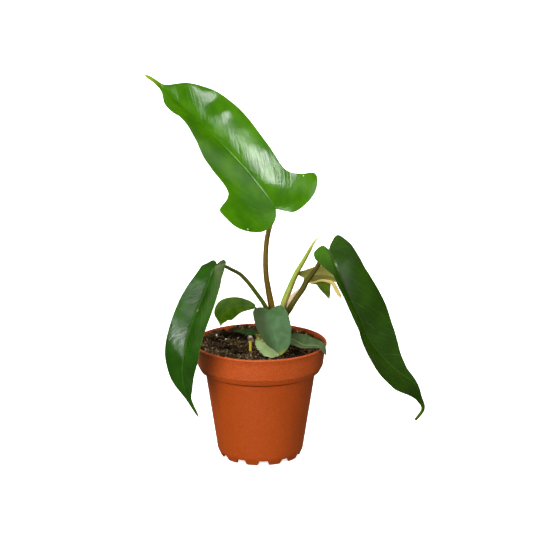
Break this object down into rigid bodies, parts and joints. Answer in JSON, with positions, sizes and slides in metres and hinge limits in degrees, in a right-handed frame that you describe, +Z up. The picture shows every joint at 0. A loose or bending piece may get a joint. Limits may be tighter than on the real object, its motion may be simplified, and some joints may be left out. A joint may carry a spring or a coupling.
{
  "type": "potted philodendron",
  "caption": "Young philodendron with lobed, drip-tipped leaves on slim stalks, growing in soil in a round terracotta-coloured nursery pot.",
  "frame": {"origin": "centre of the pot's foot, at the height of the surface it stands on", "axes": "+Z up along the pot's axis, -Y to the side that the front view faces, +X to the right in that view"},
  "size_m": [0.221, 0.1172, 0.2967],
  "materials": {
    "pot_plastic": "satin injection-moulded plastic in terracotta orange",
    "peat": "rough loose peat soil with fibres and perlite",
    "leaf_bright": "glossy young leaf, bright green",
    "leaf_dark": "glossy grown leaf, dark green",
    "leaf_dull": "satin leaf, greyish green",
    "leaf_underside": "matt underside of a leaf, olive green",
    "leaf_pale": "matt underside of a leaf, pale green",
    "stalk_brown": "smooth fleshy stalk, brown-green",
    "stalk_green": "smooth fleshy stalk, yellow-green",
    "dry_sheath": "dry papery sheath, cream",
    "root_grey": "rough dry root tissue, grey-beige"
  },
  "bodies": {
    "root": {"pot": "pot_plastic", "soil": "peat", "crown": "stalk_green", "stub": "stalk_green", "root_knob": "root_grey", "leaf_top": "leaf_bright", "leaf_left": "leaf_dark", "leaf_right": "leaf_dark", "leaf_front": "leaf_dull", "leaf_small_left": "leaf_bright", "leaf_rear": "leaf_underside", "leaf_rear_low": "leaf_bright", "leaf_rim": "leaf_dull", "leaf_soil": "leaf_dark", "leaf_pale": "leaf_pale", "stalk_top": "stalk_brown", "stalk_left": "stalk_brown", "stalk_right": "stalk_brown", "stalk_front": "stalk_green", "stalk_small_left": "stalk_green", "stalk_rear": "stalk_green", "stalk_rear_low": "stalk_green", "stalk_rim": "stalk_green", "stalk_soil": "stalk_green", "stalk_pale": "stalk_green", "new_shoot": "stalk_green", "sheath_beige": "dry_sheath", "sheath_yellow": "dry_sheath"}
  },
  "joints": []
}
